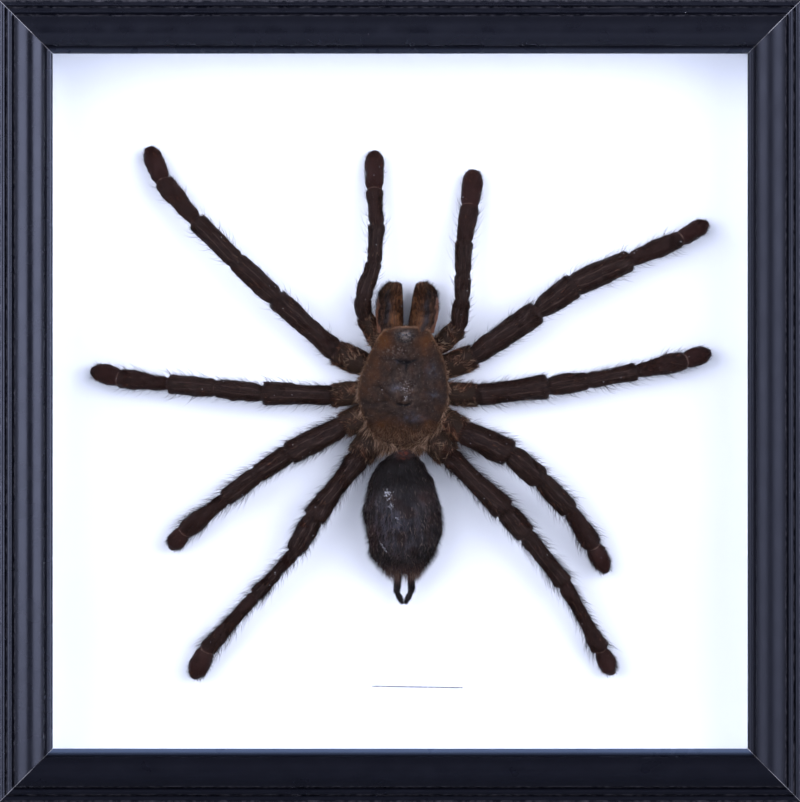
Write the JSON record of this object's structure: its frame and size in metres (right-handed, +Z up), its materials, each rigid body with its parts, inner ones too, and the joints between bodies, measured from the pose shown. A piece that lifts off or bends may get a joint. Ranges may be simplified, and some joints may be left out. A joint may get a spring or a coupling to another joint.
{
  "type": "framed tarantula specimen",
  "caption": "Spread dried tarantula on a white mount card in a square glazed box frame of black moulding, standing upright or hung by its back.",
  "frame": {"origin": "middle of the bottom face of the frame, on the surface that it stands on", "axes": "-Y out of the glass towards the viewer, +X to the viewer's right, +Z up towards the specimen's head"},
  "size_m": [0.1708, 0.03, 0.1708],
  "materials": {
    "moulding": "satin black",
    "glass": "clear, polished",
    "white_board": "matt white",
    "mount_card": "matt white",
    "hardboard": "pressed brown hardboard",
    "steel": "plain spring steel",
    "brass": "brass-plated steel",
    "carapace": "dry brown cuticle with golden hairs",
    "abdomen": "dry blackish cuticle under short hairs",
    "leg": "dry dark brown cuticle under short hairs",
    "fang": "glossy black horn"
  },
  "bodies": {
    "root": {"rail_top": "moulding", "rail_bottom": "moulding", "rail_left": "moulding", "rail_right": "moulding", "glass": "glass", "spacer_top": "white_board", "spacer_bottom": "white_board", "spacer_left": "white_board", "spacer_right": "white_board", "mount_card": "mount_card", "back_board": "hardboard", "board_tab_top_1": "steel", "board_tab_top_2": "steel", "board_tab_bottom_1": "steel", "board_tab_bottom_2": "steel", "board_tab_left_1": "steel", "board_tab_left_2": "steel", "board_tab_right_1": "steel", "board_tab_right_2": "steel", "sawtooth_hanger": "brass", "hanger_nail_left": "brass", "hanger_nail_right": "brass", "prosoma": "carapace", "abdomen": "abdomen", "chelicera_left": "carapace", "chelicera_right": "carapace", "fang_left": "fang", "fang_right": "fang", "palp_left": "leg", "palp_right": "leg", "leg_left_1": "leg", "leg_left_2": "leg", "leg_left_3": "leg", "leg_left_4": "leg", "leg_right_1": "leg", "leg_right_2": "leg", "leg_right_3": "leg", "leg_right_4": "leg", "spinneret_left": "abdomen", "spinneret_right": "abdomen"}
  },
  "joints": []
}
